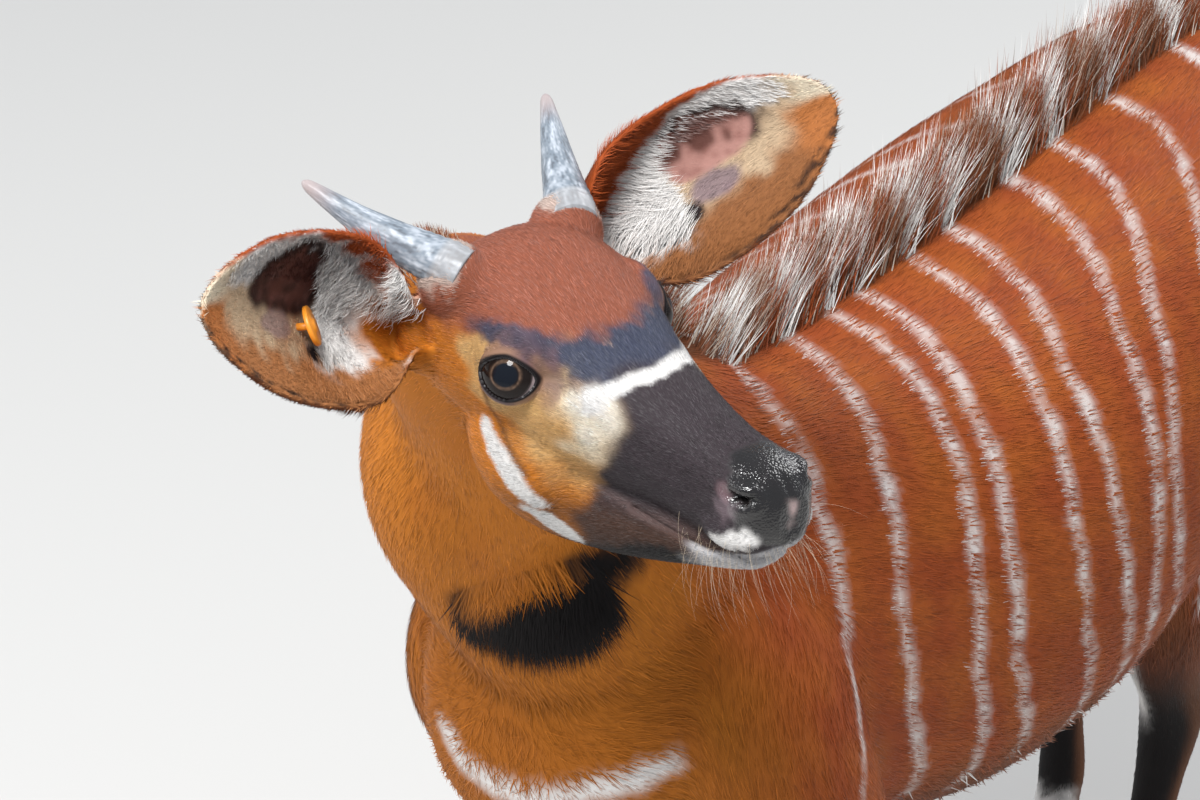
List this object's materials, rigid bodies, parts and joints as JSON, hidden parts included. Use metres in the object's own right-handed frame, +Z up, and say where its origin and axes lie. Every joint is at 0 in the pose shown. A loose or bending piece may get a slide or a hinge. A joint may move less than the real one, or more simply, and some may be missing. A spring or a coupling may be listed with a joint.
{
  "type": "bongo antelope",
  "caption": "Young bongo antelope, life size, standing with its head turned to its left: still model with mane, cupped ears, short horns and an ear tag.",
  "frame": {"origin": "bottom centre of the bounding box, on the floor that the hooves stand on", "axes": "+X is the animal's left, +Y runs from its chest to its tail, +Z is up"},
  "size_m": [0.5526, 1.482, 1.1984],
  "materials": {
    "coat": "short chestnut fur with white stripes, and a longer mane",
    "horn": "grey-blue horn, satin, with paler tips",
    "hoof": "dark satin hoof",
    "eye": "dark brown polished eye",
    "tag": "plain orange plastic, no marks"
  },
  "bodies": {
    "root": {"head": "coat", "neck": "coat", "torso": "coat", "tail": "coat", "ear_left": "coat", "ear_right": "coat", "foreleg_left_upper": "coat", "foreleg_left_lower": "coat", "foreleg_right_upper": "coat", "foreleg_right_lower": "coat", "hindleg_left_upper": "coat", "hindleg_left_lower": "coat", "hindleg_right_upper": "coat", "hindleg_right_lower": "coat", "hoof_fore_left": "hoof", "hoof_fore_right": "hoof", "hoof_hind_left": "hoof", "hoof_hind_right": "hoof", "horn_left": "horn", "horn_right": "horn", "eye_left": "eye", "eye_right": "eye", "tag_right": "tag"}
  },
  "joints": []
}
